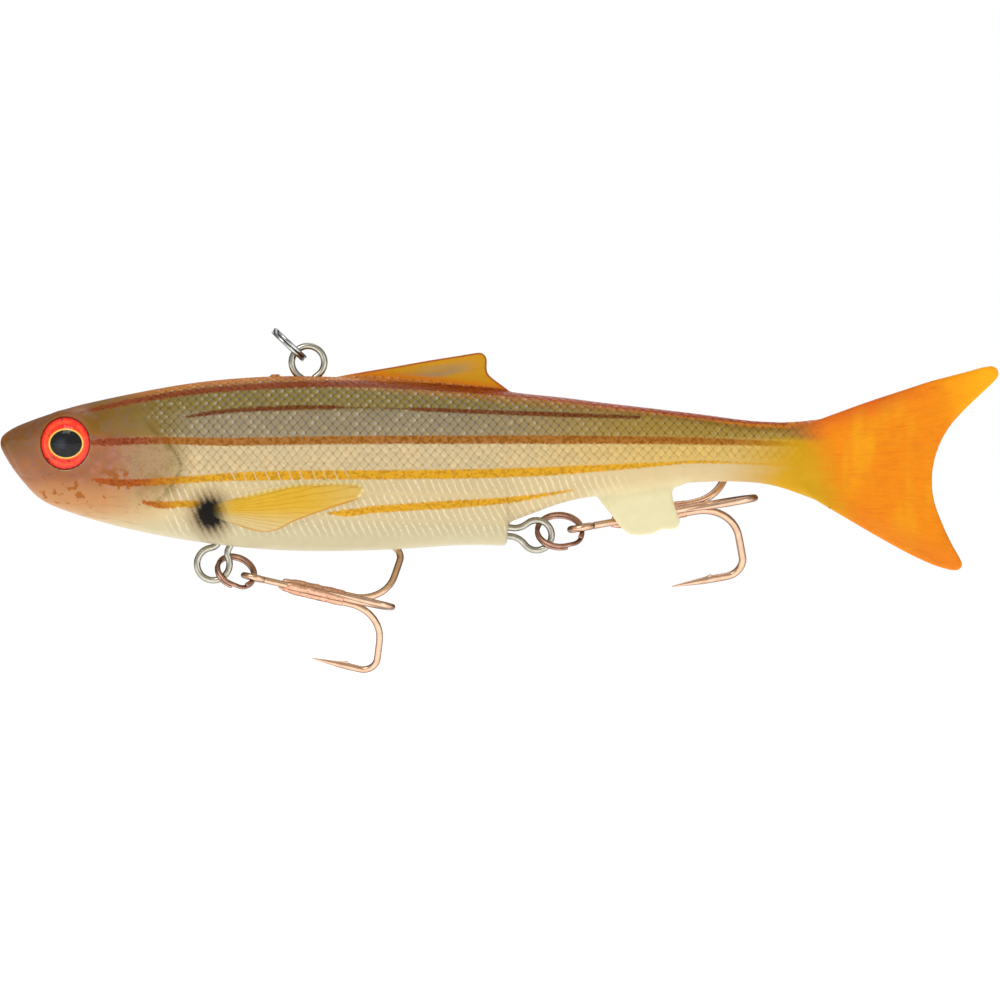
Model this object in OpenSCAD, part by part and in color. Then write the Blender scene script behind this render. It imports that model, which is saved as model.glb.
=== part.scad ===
// Soft swimbait with a forked tail: a rubbery body moulded over a lead keel and three wire loops,
// with a split ring on the back and a split ring and a treble hook on each hanger.
// X runs from nose to tail, Z from belly to back. The origin is the centre of the line tie.

/* [Body] */
// Length from the nose to the tips of the tail
body_length = 149.8; // [130:0.2:180]
// Depth of the body from back to belly
body_depth = 26.6; // [24:0.2:32]
// Width of the body at its widest
body_width = 18; // [16:0.2:22]
// Thickness of the dorsal fin
dorsal_thickness = 1.3; // [0.8:0.1:2]
// Thickness of the anal fin
anal_thickness = 1.4; // [1:0.1:1.6]
// How far the pectoral fins stand out of the flanks
pectoral_relief = 0.5; // [0.3:0.1:1]
// Thickness of the tail fin at its tips
tail_edge = 0.9; // [0.6:0.1:1.4]

/* [Flexing tail] */
// Free play between one soft segment and the next
flex_gap = 0.25; // [0.15:0.05:0.4]

/* [Eyes] */
// Diameter of the eye
eye_dia = 7.7; // [6:0.1:9]
// Thickness of the printed foil behind the clear dome
foil_thickness = 0.5; // [0.3:0.1:0.8]
// Height of the clear dome
lens_rise = 1.5; // [1:0.1:2.2]

/* [Wire and weight] */
// Diameter of the wire in the line tie and the hangers
wire_dia = 1; // [0.8:0.05:1.2]
// Mean diameter of the line tie and of the belly hanger
loop_dia = 4.9; // [4.6:0.1:5.6]
// Mean diameter of the rear hanger
rear_loop_dia = 4.5; // [4.3:0.1:5]
// Height of the line tie's centre over the back
tie_stand = 1.9; // [1.7:0.1:2.6]
// Thickness of the lead keel
keel_thickness = 6; // [4:0.5:8]
// Room that the mould leaves round each piece set in the body
mould_gap = 0.05; // [0.03:0.01:0.1]

/* [Split rings] */
// Outer diameter of the rings on the line tie and on the belly hanger
ring_dia = 6.5; // [6.3:0.1:7.5]
// Outer diameter of the ring on the rear hanger
rear_ring_dia = 7.5; // [7.2:0.1:8.5]
// Width of the ring wire, measured out from the ring's centre
coil_width = 0.7; // [0.6:0.05:0.8]
// Thickness of one turn of the ring wire
coil_height = 0.5; // [0.4:0.05:0.55]

/* [Treble hooks] */
// Reach of the belly treble from the centre of its eye to the back of its bends
treble_reach = 20.9; // [18:0.1:24]
// Reach of the rear treble
rear_treble_reach = 24.6; // [22:0.1:28]
// Distance of the belly hook points from the middle of the shank
treble_gape = 11.2; // [10:0.1:13]
// Distance of the rear hook points from the middle of the shank
rear_treble_gape = 13.2; // [12:0.1:15]
// Wire diameter of the belly treble
hook_wire = 1.05; // [0.9:0.05:1.2]
// Wire diameter of the rear treble
rear_hook_wire = 1.15; // [1:0.05:1.3]
// Inner diameter of the belly treble's eye
hook_eye_bore = 2.1; // [2:0.05:2.4]
// Inner diameter of the rear treble's eye
rear_hook_eye_bore = 2.2; // [2.1:0.05:2.6]

/* [Hidden] */
$fn = 48;

// The standard body, which the three body sizes stretch
standard_length = 149.8;
standard_depth = 26.6;
standard_width = 18;
long = body_length / standard_length;
deep = body_depth / standard_depth;
wide = body_width / standard_width;

// Cross-sections from nose to tail: place, back and belly under the top of the back, half width.
// The two at 29.9 and 30 make the step that the rear hanger comes out of.
SECTIONS = [
    [-46.2, -9.5, -10.8, 0.6], [-45.4, -8.7, -12.2, 1.7], [-44.2, -7.9, -14.2, 2.7],
    [-42.6, -7.2, -16.2, 3.7], [-40.2, -6.3, -18.9, 4.7], [-37.2, -5.3, -20.1, 5.6],
    [-34.2, -4.4, -21.2, 6.4], [-28.2, -3.1, -22.9, 7.6], [-22.2, -1.9, -24.2, 8.4],
    [-16.2, -0.9, -25.2, 8.8], [-7.2, -0.1, -26.3, 9], [1.8, 0, -26.6, 8.9],
    [13.8, -0.8, -26.3, 8.1], [22.5, -1.7, -25.5, 7.2], [29.9, -2.4, -25.7, 6.2],
    [30, -2.4, -22.2, 6.2], [33, -2.8, -21.1, 5.8], [36, -3.1, -19.9, 5.4],
    [39, -3.4, -18.9, 5], [42.5, -3.9, -18.3, 4.6], [45, -4.2, -18, 4.3],
    [52, -5, -17, 3.6], [56, -5.5, -16.3, 3.2], [59.5, -5.9, -16, 2.9],
    [65.5, -6.8, -16, 2.4], [69, -7, -16.4, 2.1], [72, -7.1, -17.2, 1.85],
    [76.5, -6.5, -19.1, 1.4], [80, -5.9, -20.6, 1]];
SECTION_SIDES = 32;
// Below 1 the sections are a little squarer than an ellipse
squareness = 0.88;

// Places that the tail bends at, and the radius of the round joint there
FLEX_AT = [45, 59.5, 72];
FLEX_RADIUS = [5, 3.5, 2.4];

// Outlines of the fins, in the same standard frame as the sections
DORSAL = [[3, -1], [4.7, -0.2], [12.7, 1.2], [17.7, 2.1], [22.7, 2.9], [25.1, 3.3], [26.4, 3.3],
    [26.9, 2.5], [26.8, 1], [27.1, 0], [28.6, -1.2], [30, -2.6], [30, -4], [3, -4]];
ANAL = [[43.7, -16.5], [43.7, -18.9], [44.4, -19.6], [45.4, -20.6], [46.8, -22.7], [48.2, -23.8],
    [49.7, -24], [51.6, -23.8], [53.6, -23], [54.9, -23], [55.6, -22.7], [55.8, -21.9],
    [55.2, -20.2], [54.7, -18.5], [54.8, -17], [55.6, -16.5], [56.5, -16.2], [56.5, -14]];
PECTORAL = [[-11.8, -19.1], [-9.6, -18.2], [-5.8, -17.3], [-2, -16.5], [1.8, -16.3], [5.7, -16.2],
    [7.6, -16.4], [8.4, -17], [7.2, -18.7], [3.8, -19.8], [0.9, -20.8], [-2, -21.9], [-3.9, -22.9],
    [-5.8, -23.4], [-7.7, -23.2], [-11, -22.2]];
PECTORAL_END = 9;
TAIL = [[74.3, -7], [76.5, -6.5], [80, -5.4], [84.6, -3.8], [89.2, -2.3], [93.8, -0.8], [98.4, 0.4],
    [101.3, 1.2], [102.9, 1.3], [103.6, 0.3], [103.3, -0.7], [100.7, -3.1], [98.4, -5.3],
    [96.3, -7.7], [94.7, -10.5], [93.8, -13.5], [93.6, -16.5], [94, -19.2], [95.1, -22.2],
    [96.5, -25.2], [97.9, -27.7], [98.1, -28.6], [97.5, -29.2], [96.3, -29.3], [93.8, -28.5],
    [90.3, -26.9], [85.7, -24.4], [81.1, -21.7], [77.7, -19.8], [74.3, -18.2]];
// Half thickness of the tail fin along its length, as shares of its edge
TAIL_TAPER = [[73, 3.6], [78, 2.6], [84, 1.9], [92, 1.35], [104, 1]];

// Places of the hardware in the standard frame
EYE_AT = [-36, -10.3];
EYE_BURIED = 0.55;
EYE_TOE_IN = 17;
BELLY_LOOP_X = -14.2;
BELLY_LOOP_HANG = 2.9;
REAR_LOOP_X = 34.3;
REAR_LOOP_UNDER = 3.45;

// Each loop: radius of the two bends that bring its legs together, half the spread of the legs,
// their length, and the turn about Y from legs down
TIE_SHAPE = [1.5, 0.55, 17, 0];
BELLY_SHAPE = [1.5, 0.9, 4.5, -151];
REAR_SHAPE = [3, 0.62, 10, 97];

// The lead keel: ends, top and bottom, and the chamfer of its corners
KEEL_X = [-22, 24];
KEEL_Z = [-23.4, -14.4];
keel_chamfer = 3;

// How each rig hangs: droop of the ring from the loop, its swing to the far side, its lean with the
// top away, the turn of the eye round the ring, yaw and roll of the treble on the ring wire,
// and the room between the ring's wire and the inside of the loop
BELLY_HANG = [19, 8, 45, 0.5, -8, 41, 0.9];
REAR_HANG = [-10, 12, 44, -1.5, -2, 45, 1.2];
LINE_RING_AT = 137;
line_ring_play = 0.6;
ring_step = 40;
ring_turn_gap = 0.04;
RING_STEPS = 68;
// Below 1 the section of the ring wire is squarer than an ellipse
ring_squareness = 0.6;

// The hooks, as shares of their reach: radius of the two bends, ends of the brazing, end of the
// point and length of its taper; hook_heading is the slope of the wire between the bends
HOOK_BENDS = [0.27, 0.105];
BRAZE = [0.17, 0.66];
hook_tip = 0.54;
hook_taper = 0.22;
hook_heading = 84;
braze_wall = 0.12;
braze_gap = 0.04;
braze_lap = 0.6;
barb_length = 0.95;
BARB_DIA = [0.5, 0.08];
barb_slope = 38;
point_dia = 0.1;
eye_bend = 0.8;
eye_wire_end = 340;
TIP_STEPS = 3;
WIRE_SIDES = 10;
arc_step = 9;

function stretch(p) = [p[0] * long, p[1] * deep - tie_stand];
function outline(points) = [for (p = points) stretch(p)];
function signed_power(v, e) = sign(v) * pow(abs(v), e);
function mix(a, b, t) = a + (b - a) * t;

// Rows of SECTIONS that a segment from x0 to x1 needs
function rows_for(x0, x1) = [for (i = [0:len(SECTIONS) - 1])
    if (SECTIONS[min(i + 1, len(SECTIONS) - 1)][0] > x0 && SECTIONS[max(i - 1, 0)][0] < x1) SECTIONS[i]];

// Body size at a place x of the standard body: column 1 is the back, 2 the belly, 3 the half width
function body_at(x, column, i = 0) = SECTIONS[i + 1][0] >= x
    ? mix(SECTIONS[i][column], SECTIONS[i + 1][column],
        (x - SECTIONS[i][0]) / (SECTIONS[i + 1][0] - SECTIONS[i][0]))
    : body_at(x, column, i + 1);

// Half width at place x and height z of the standard body
function flank_at(x, z) = let (top = body_at(x, 1), low = body_at(x, 2),
    share = abs(2 * z - top - low) / (top - low))
    body_at(x, 3) * pow(1 - pow(share, 2 / squareness), squareness / 2);

function section_ring(row, proud) = [for (i = [0:SECTION_SIDES - 1]) let (a = i * 360 / SECTION_SIDES,
    top = row[1], low = row[2])
    [row[0] * long,
     (row[3] * wide + proud) * signed_power(cos(a), squareness),
     ((top + low) / 2 + (top - low) / 2 * signed_power(sin(a), squareness)) * deep - tie_stand]];

// Closed solid through rings of points that all have the same count
module skinned(rings) {
    n = len(rings[0]);
    m = len(rings);
    points = [for (ring = rings) each ring];
    sides = [for (j = [0:m - 2]) for (i = [0:n - 1]) let (k = (i + 1) % n)
        each [[j * n + i, (j + 1) * n + i, (j + 1) * n + k], [j * n + i, (j + 1) * n + k, j * n + k]]];
    ends = [[for (i = [0:n - 1]) i], [for (i = [n - 1:-1:0]) (m - 1) * n + i]];
    polyhedron(points, concat(sides, ends));
}

module loft(x0, x1, proud = 0) {
    skinned([for (row = rows_for(x0, x1)) section_ring(row, proud)]);
}

// A plate with its outline in X and Z, centred on the body's middle plane
module plate(points, thickness) {
    rotate([90, 0, 0]) linear_extrude(thickness, center = true) polygon(points);
}

// Plan of one soft segment between flex places a and b, either of which can be missing
module segment_plan(a, b) {
    start = a < 0 ? SECTIONS[0][0] * long - 1 : FLEX_AT[a] * long;
    stop = b < 0 ? body_length : FLEX_AT[b] * long;
    linear_extrude(4 * body_depth, center = true) difference() {
        union() {
            translate([start, -body_width]) square([stop - start, 2 * body_width]);
            if (a >= 0) translate([start, 0]) circle(FLEX_RADIUS[a] * wide);
        }
        if (b >= 0) translate([stop, 0]) circle(FLEX_RADIUS[b] * wide + flex_gap);
    }
}

module segment(a, b) {
    x0 = a < 0 ? SECTIONS[0][0] : FLEX_AT[a] - FLEX_RADIUS[a];
    x1 = b < 0 ? SECTIONS[len(SECTIONS) - 1][0] : FLEX_AT[b];
    intersection() {
        loft(x0, x1);
        segment_plan(a, b);
    }
}

// Points along an arc in the XY plane, a step of arc_step degrees apart
function arc(centre, radius, from, to) = let (n = ceil(abs(to - from) / arc_step))
    [for (i = [0:n]) let (a = mix(from, to, i / n)) centre + radius * [cos(a), sin(a)]];

// Round wire along a path in the XY plane, of diameter d, narrowing to tip_d over its last tip_steps
module wire(path, d, tip_d = 0, tip_steps = 0) {
    last = len(path) - 1;
    skinned([for (i = [0:last]) let (way = path[min(i + 1, last)] - path[max(i - 1, 0)],
        across = [-way[1], way[0]] / norm(way),
        r = mix(d, tip_d, tip_steps == 0 ? 0 : max(0, (i - last + tip_steps) / tip_steps)) / 2)
        [for (k = [0:WIRE_SIDES - 1]) let (a = k * 360 / WIRE_SIDES)
            [path[i][0] + r * cos(a) * across[0], path[i][1] + r * cos(a) * across[1], r * sin(a)]]]);
}

// Depth under a loop's centre where its legs start to run straight
function legs_from(mean_dia, shape) = sqrt(pow(mean_dia / 2 + shape[0], 2) - pow(shape[1] + shape[0], 2));

// A loop of wire centred on the origin, in X and Z, with its two legs down
module wire_loop(mean_dia, shape) {
    bend = shape[0];
    bend_at = [shape[1] + bend, -legs_from(mean_dia, shape)];
    meet = atan2(bend_at[1], bend_at[0]);
    half = concat(arc([0, 0], mean_dia / 2, 90, meet), arc(bend_at, bend, 180 + meet, 180),
        [[shape[1], bend_at[1] - shape[2]]]);
    other = [for (i = [len(half) - 1:-1:1]) [-half[i][0], half[i][1]]];
    rotate([0, shape[3], 0]) rotate([90, 0, 0]) wire(concat(other, half), wire_dia);
}

// The slot that the mould leaves round a loop: broad round the loop, narrow round its legs
module wire_slot(mean_dia, shape) {
    thick = wire_dia + 2 * mould_gap;
    legs = 2 * shape[1] + thick;
    broad = mean_dia + thick;
    knee = legs_from(mean_dia, shape);
    foot = knee + shape[2] + mould_gap;
    rotate([0, shape[3], 0]) {
        translate([-broad / 2, -thick / 2, -knee]) cube([broad, thick, knee]);
        translate([-legs / 2, -thick / 2, -foot]) cube([legs, thick, foot]);
    }
}

belly_loop = [BELLY_LOOP_X * long, 0,
    body_at(BELLY_LOOP_X, 2) * deep - tie_stand - BELLY_LOOP_HANG];
rear_loop = [REAR_LOOP_X * long, 0,
    body_at(REAR_LOOP_X, 2) * deep - tie_stand - REAR_LOOP_UNDER];

module all_slots() {
    wire_slot(loop_dia, TIE_SHAPE);
    translate(belly_loop) wire_slot(loop_dia, BELLY_SHAPE);
    translate(rear_loop) wire_slot(rear_loop_dia, REAR_SHAPE);
}

module keel_block(grow = 0) {
    x0 = KEEL_X[0] * long - grow;
    x1 = KEEL_X[1] * long + grow;
    z0 = KEEL_Z[0] * deep - tie_stand - grow;
    z1 = KEEL_Z[1] * deep - tie_stand + grow;
    c = keel_chamfer;
    plate([[x0 + c, z0], [x1, z0], [x1, z1 - c], [x1 - c, z1], [x0 + c, z1], [x0, z1 - c], [x0, z0 + c]],
        keel_thickness + 2 * grow);
}

// Places an eye part: local Z looks out of the head, and local 0 is the front of the foil
module eye_place(side) {
    y = flank_at(EYE_AT[0], EYE_AT[1]) * wide - EYE_BURIED;
    translate([EYE_AT[0] * long, side * y, EYE_AT[1] * deep - tie_stand])
        rotate([-side * 90, 0, side * EYE_TOE_IN]) children();
}

module eye_foil(side) {
    eye_place(side) translate([0, 0, -foil_thickness]) cylinder(d = eye_dia, h = foil_thickness);
}

module eye_socket(side) {
    depth = foil_thickness + mould_gap;
    eye_place(side) translate([0, 0, -depth]) cylinder(d = eye_dia + 2 * mould_gap, h = depth + lens_rise + 2);
}

module eye_lens(side) {
    base = eye_dia / 2 - 0.1;
    radius = (base * base + lens_rise * lens_rise) / (2 * lens_rise);
    eye_place(side) intersection() {
        translate([0, 0, lens_rise - radius]) sphere(radius);
        cylinder(r = base, h = lens_rise + 1);
    }
}

// A split ring about Y: two flat turns of wire with a short step from one to the other
module split_ring(od, turned) {
    mean = (od - coil_width) / 2;
    rise = (coil_height + ring_turn_gap) / 2;
    from = ring_step / 2;
    to = 720 - ring_step / 2;
    skinned([for (i = [0:RING_STEPS]) let (t = mix(from, to, i / RING_STEPS),
        s = min(1, max(0, (t - 360 + from) / ring_step)), layer = mix(-rise, rise, s * s * (3 - 2 * s)))
        [for (k = [0:7]) let (a = 22.5 + k * 45,
            out = mean + coil_width / 2 * signed_power(cos(a), ring_squareness))
            [out * cos(t + turned), layer + coil_height / 2 * signed_power(sin(a), ring_squareness),
             out * sin(t + turned)]]]);
}

// Distance from a loop's centre to the centre of the ring that runs through it
function ring_out(loop_d, od, play) = (loop_d - wire_dia) / 2 - play + od / 2 - coil_width;

module ring_place(loop_at, loop_d, od, hang) {
    translate(loop_at) rotate([0, hang[0], 0]) rotate([0, 0, hang[1]])
        translate([ring_out(loop_d, od, hang[6]), 0, 0]) rotate([-hang[2], 0, 0]) children();
}

module treble_place(loop_at, loop_d, od, hang) {
    ring_place(loop_at, loop_d, od, hang) rotate([0, -hang[3], 0]) translate([(od - coil_width) / 2, 0, 0])
        rotate([0, 0, hang[4]]) rotate([hang[5], 0, 0]) children();
}

// Path of one hook in X and Y, from the start of its bend to its point on the +Y side
function hook_bends(reach, gape, offset) = let (big = reach * HOOK_BENDS[0], small = reach * HOOK_BENDS[1],
    turn = hook_heading,
    straight = (gape - offset - big * (1 - cos(turn)) - small * (1 + cos(turn))) / sin(turn),
    start = reach - big * sin(turn) - straight * cos(turn) - small * (1 - sin(turn)),
    p1 = [start + big * sin(turn), offset + big * (1 - cos(turn))],
    p2 = p1 + straight * [cos(turn), sin(turn)],
    centre = p2 + small * [-sin(turn), cos(turn)], tip = reach * hook_tip, taper = reach * hook_taper)
    concat(arc([start, offset + big], big, -90, turn - 90), arc(centre, small, turn - 90, 90),
        [for (i = [0:TIP_STEPS]) [tip + taper * (1 - i / TIP_STEPS), gape]]);

// One hook of a treble: its wire along the path so far, then its bends, point and barb
module hook(reach, gape, d, path) {
    back = reach * (hook_tip + hook_taper);
    wire(concat(path, hook_bends(reach, gape, shank_offset(d))), d, point_dia, TIP_STEPS);
    translate([back + point_dia, gape - d * 0.3]) rotate([0, 90, -barb_slope])
        cylinder(d1 = BARB_DIA[0], d2 = BARB_DIA[1], h = barb_length, $fn = 8);
}

function shank_offset(d) = (d / 2 + braze_gap) / cos(30);

module side_hook(reach, gape, d, around) {
    rotate([around, 0, 0]) hook(reach, gape, d, [[reach * BRAZE[0] + braze_lap, shank_offset(d)]]);
}

// The eyed hook's wire runs round its eye, stops short of its own shank, and bends into the shank
module eyed_hook(reach, gape, d, bore) {
    mean = (bore + d) / 2;
    off = shank_offset(d);
    bend_at = [sqrt(pow(mean + eye_bend, 2) - pow(off + eye_bend, 2)), off + eye_bend];
    meet = atan2(bend_at[1], bend_at[0]);
    mirror([0, 1, 0]) hook(reach, gape, d,
        concat(arc([0, 0], mean, eye_wire_end, meet), arc(bend_at, eye_bend, 180 + meet, 270)));
}

// The brazing that wraps the three shanks, with braze_gap of metal between each two
module braze(reach, d) {
    from = reach * BRAZE[0];
    to = reach * BRAZE[1];
    difference() {
        translate([from, 0, 0]) rotate([0, 90, 0])
            cylinder(r = shank_offset(d) + d / 2 + braze_wall, h = to - from);
        for (around = [0, 120, 240]) rotate([around, 0, 0])
            translate([from - 1, -shank_offset(d), 0]) rotate([0, 90, 0])
                cylinder(d = d + braze_gap, h = to - from + 2);
    }
}

module belly_treble_place() {
    treble_place(belly_loop, loop_dia, ring_dia, BELLY_HANG) children();
}

module rear_treble_place() {
    treble_place(rear_loop, rear_loop_dia, rear_ring_dia, REAR_HANG) children();
}

module body_skin() {
    color("burlywood") difference() {
        union() {
            segment(-1, 0);
            plate(outline(DORSAL), dorsal_thickness);
            intersection() {
                loft(PECTORAL[0][0], PECTORAL_END, pectoral_relief);
                plate(outline(PECTORAL), 2 * body_width);
            }
        }
        keel_block(mould_gap);
        all_slots();
        eye_socket(-1);
        eye_socket(1);
    }
}

module keel_weight() {
    color("dimgray") difference() {
        keel_block();
        all_slots();
    }
}

module line_tie_wire() {
    color("silver") wire_loop(loop_dia, TIE_SHAPE);
}

module belly_hanger_wire() {
    color("silver") translate(belly_loop) wire_loop(loop_dia, BELLY_SHAPE);
}

module rear_hanger_wire() {
    color("silver") translate(rear_loop) wire_loop(rear_loop_dia, REAR_SHAPE);
}

module eye_foil_left() {
    color("crimson") eye_foil(-1);
}

module eye_foil_right() {
    color("crimson") eye_foil(1);
}

module eye_lens_left() {
    color("black") eye_lens(-1);
}

module eye_lens_right() {
    color("black") eye_lens(1);
}

module line_ring() {
    out = ring_out(loop_dia, ring_dia, line_ring_play);
    color("silver") rotate([0, -LINE_RING_AT, 0]) translate([out, 0, 0]) rotate([90, 0, 0])
        split_ring(ring_dia, 20);
}

module belly_ring() {
    color("sienna") ring_place(belly_loop, loop_dia, ring_dia, BELLY_HANG) split_ring(ring_dia, -70);
}

module rear_ring() {
    color("sienna") ring_place(rear_loop, rear_loop_dia, rear_ring_dia, REAR_HANG)
        split_ring(rear_ring_dia, -65);
}

module belly_eyed_hook() {
    color("peru") belly_treble_place() eyed_hook(treble_reach, treble_gape, hook_wire, hook_eye_bore);
}

module belly_side_hook_lower() {
    color("peru") belly_treble_place() side_hook(treble_reach, treble_gape, hook_wire, -60);
}

module belly_side_hook_upper() {
    color("peru") belly_treble_place() side_hook(treble_reach, treble_gape, hook_wire, 60);
}

module belly_hook_braze() {
    color("tan") belly_treble_place() braze(treble_reach, hook_wire);
}

module rear_eyed_hook() {
    color("peru") rear_treble_place()
        eyed_hook(rear_treble_reach, rear_treble_gape, rear_hook_wire, rear_hook_eye_bore);
}

module rear_side_hook_lower() {
    color("peru") rear_treble_place() side_hook(rear_treble_reach, rear_treble_gape, rear_hook_wire, -60);
}

module rear_side_hook_upper() {
    color("peru") rear_treble_place() side_hook(rear_treble_reach, rear_treble_gape, rear_hook_wire, 60);
}

module rear_hook_braze() {
    color("tan") rear_treble_place() braze(rear_treble_reach, rear_hook_wire);
}

module tail_root() {
    color("khaki") intersection() {
        union() {
            loft(FLEX_AT[0] - FLEX_RADIUS[0], FLEX_AT[1]);
            plate(outline(ANAL), anal_thickness);
        }
        segment_plan(0, 1);
    }
}

module tail_stem() {
    color("gold") segment(1, 2);
}

module tail_fin() {
    taper = [for (t = TAIL_TAPER) [t[0] * long, t[1] * tail_edge / 2]];
    color("orange") {
        segment(2, -1);
        intersection() {
            plate(outline(TAIL), body_width);
            linear_extrude(4 * body_depth, center = true)
                polygon(concat(taper, [for (i = [len(taper) - 1:-1:0]) [taper[i][0], -taper[i][1]]]));
        }
    }
}

body_skin();
keel_weight();
line_tie_wire();
belly_hanger_wire();
rear_hanger_wire();
eye_foil_left();
eye_foil_right();
eye_lens_left();
eye_lens_right();
line_ring();
belly_ring();
rear_ring();
belly_eyed_hook();
belly_side_hook_lower();
belly_side_hook_upper();
belly_hook_braze();
rear_eyed_hook();
rear_side_hook_lower();
rear_side_hook_upper();
rear_hook_braze();
tail_root();
tail_stem();
tail_fin();
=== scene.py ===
import math
import bpy
import numpy as np
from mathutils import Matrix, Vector


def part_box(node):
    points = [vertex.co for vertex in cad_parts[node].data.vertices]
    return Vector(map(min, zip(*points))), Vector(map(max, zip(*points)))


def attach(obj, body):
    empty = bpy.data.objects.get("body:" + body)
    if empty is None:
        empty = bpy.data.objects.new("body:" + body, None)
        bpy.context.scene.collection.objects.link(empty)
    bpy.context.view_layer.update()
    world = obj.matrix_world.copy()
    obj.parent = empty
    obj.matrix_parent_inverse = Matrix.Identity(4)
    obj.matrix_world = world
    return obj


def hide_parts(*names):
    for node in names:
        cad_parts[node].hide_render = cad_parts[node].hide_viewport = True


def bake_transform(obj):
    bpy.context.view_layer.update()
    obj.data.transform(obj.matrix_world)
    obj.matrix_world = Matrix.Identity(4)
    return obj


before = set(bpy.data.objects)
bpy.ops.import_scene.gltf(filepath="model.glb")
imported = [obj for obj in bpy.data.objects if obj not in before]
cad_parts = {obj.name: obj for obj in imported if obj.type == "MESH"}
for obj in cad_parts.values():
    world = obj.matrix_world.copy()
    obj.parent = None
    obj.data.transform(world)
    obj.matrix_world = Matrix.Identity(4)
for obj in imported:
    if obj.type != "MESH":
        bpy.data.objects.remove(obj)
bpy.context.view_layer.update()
mm = 0.001
print("frame loaded")


# working by hand: picking, editing, modifiers
def pickOnly(obj, *others):
    if bpy.context.object and bpy.context.object.mode != "OBJECT":
        bpy.ops.object.mode_set(mode="OBJECT")
    bpy.ops.object.select_all(action="DESELECT")
    for one in (obj, *others):
        one.select_set(True)
    bpy.context.view_layer.objects.active = obj


def openEdit(obj, action="SELECT"):  # without an action, what is picked stays picked
    pickOnly(obj)
    bpy.ops.object.mode_set(mode="EDIT")
    if action:
        bpy.ops.mesh.select_all(action=action)


def closeEdit():
    bpy.ops.object.mode_set(mode="OBJECT")


def applyModifier(obj, kind, **settings):
    pickOnly(obj)
    made = obj.modifiers.new(kind.lower(), kind)
    for key, value in settings.items():
        setattr(made, key, value)
    bpy.ops.object.modifier_apply(modifier=made.name)


def named(name):
    obj = bpy.context.object
    obj.name = name
    obj.data.name = name
    return obj


def settle(obj):  # its place goes into its mesh
    pickOnly(obj)
    bpy.ops.object.transform_apply(location=True, rotation=True, scale=True)
    return obj


def getPoints(obj, what="co"):
    flat = np.empty(len(obj.data.vertices) * 3, np.float32)
    obj.data.vertices.foreach_get(what, flat)
    return flat.reshape(-1, 3).astype(float)


def setPoints(obj, points):
    obj.data.vertices.foreach_set("co", points.astype(np.float32).ravel())
    obj.data.update()


def smoothShade(obj, degrees):
    pickOnly(obj)
    bpy.ops.object.shade_smooth_by_angle(angle=math.radians(degrees))


def paintOver(obj, material):
    obj.data.materials.clear()
    obj.data.materials.append(material)


def keep(obj, name, values):  # a number or a vector for each point, for the paint to read
    values = np.asarray(values, np.float32)
    if values.ndim == 1:
        obj.data.attributes.new(name, "FLOAT", "POINT").data.foreach_set("value", values)
    else:
        obj.data.attributes.new(name, "FLOAT_VECTOR", "POINT").data.foreach_set("vector", values.ravel())


# lines and outlines, in mm
def ease(value, low, high):
    t = np.clip((value - low) / (high - low), 0, 1)
    return t * t * (3 - 2 * t)


def rounded(points, steps=6, closed=True):  # a smooth line through the points
    p = np.array(points, float)
    n = len(p)
    made = []
    for i in range(n if closed else n - 1):
        if closed:
            a, b, c, d = p[(i - 1) % n], p[i], p[(i + 1) % n], p[(i + 2) % n]
        else:
            a, b, c, d = p[max(i - 1, 0)], p[i], p[i + 1], p[min(i + 2, n - 1)]
        for k in range(steps):
            t = k / steps
            made.append(0.5 * (2 * b + (c - a) * t + (2 * a - 5 * b + 4 * c - d) * t * t
                               + (3 * b - a - 3 * c + d) * t ** 3))
    if not closed:
        made.append(p[-1])
    return np.array(made)


def awayFrom(points, line, closed=False):  # distance to the line, place along it, side of it
    line = np.array(line, float)
    ends = np.roll(line, -1, axis=0) if closed else line[1:]
    starts = line if closed else line[:-1]
    best = np.full(len(points), 1e9)
    along = np.zeros(len(points))
    side = np.ones(len(points))
    run = 0.0
    for a, b in zip(starts, ends):
        way = b - a
        size = np.linalg.norm(way)
        if size < 1e-9:
            continue
        t = np.clip(((points - a) @ way) / size ** 2, 0, 1)
        off = points - (a + t[:, None] * way)
        d = np.hypot(off[:, 0], off[:, 1])
        near = d < best
        best = np.where(near, d, best)
        along = np.where(near, run + t * size, along)
        side = np.where(near, np.sign(way[0] * off[:, 1] - way[1] * off[:, 0]), side)
        run += size
    return best, along, side


def inside(points, line):
    line = np.array(line, float)
    x, z = points[:, 0], points[:, 1]
    found = np.zeros(len(points), bool)
    for (x0, z0), (x1, z1) in zip(line, np.roll(line, -1, axis=0)):
        if abs(z1 - z0) < 1e-12:
            continue
        found ^= ((z0 > z) != (z1 > z)) & (x < (x1 - x0) * (z - z0) / (z1 - z0) + x0)
    return found


# finishes
def tone(r, g, b, share=1.0):  # a paint colour, mixed from its screen values
    made = [((c / 255 + 0.055) / 1.055) ** 2.4 if c > 10 else c / 255 / 12.92 for c in (r, g, b)]
    return (made[0] * share, made[1] * share, made[2] * share, 1)


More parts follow.
